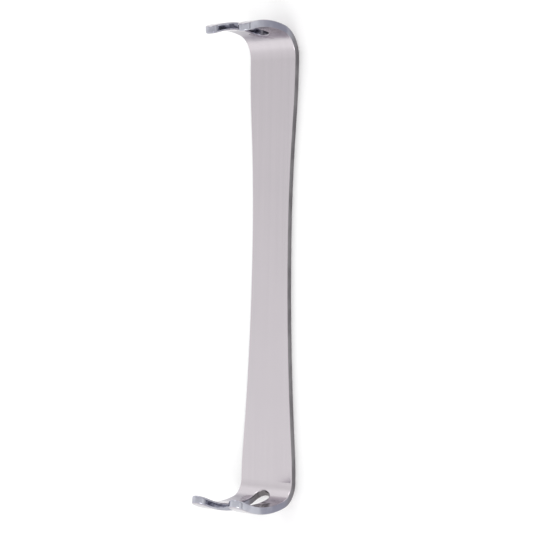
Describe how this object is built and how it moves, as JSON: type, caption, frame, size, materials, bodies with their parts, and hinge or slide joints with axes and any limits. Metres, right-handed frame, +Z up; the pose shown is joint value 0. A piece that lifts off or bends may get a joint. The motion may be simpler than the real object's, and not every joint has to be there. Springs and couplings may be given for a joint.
{
  "type": "handheld surgical retractor",
  "caption": "Double-ended steel retractor bent from one waisted strip, with a forked hook of rounded prongs at each end.",
  "frame": {"origin": "on the floor under the middle of the part, where the strip's back rests", "axes": "+X along the strip towards the smaller hook, +Y across the strip, +Z up out of the strip's front, the way both hooks turn"},
  "size_m": [0.15, 0.0194, 0.0297],
  "materials": {
    "steel": "satin with fine lengthwise brushing, polished towards the prongs"
  },
  "bodies": {
    "root": {"retractor_body": "steel"}
  },
  "joints": []
}
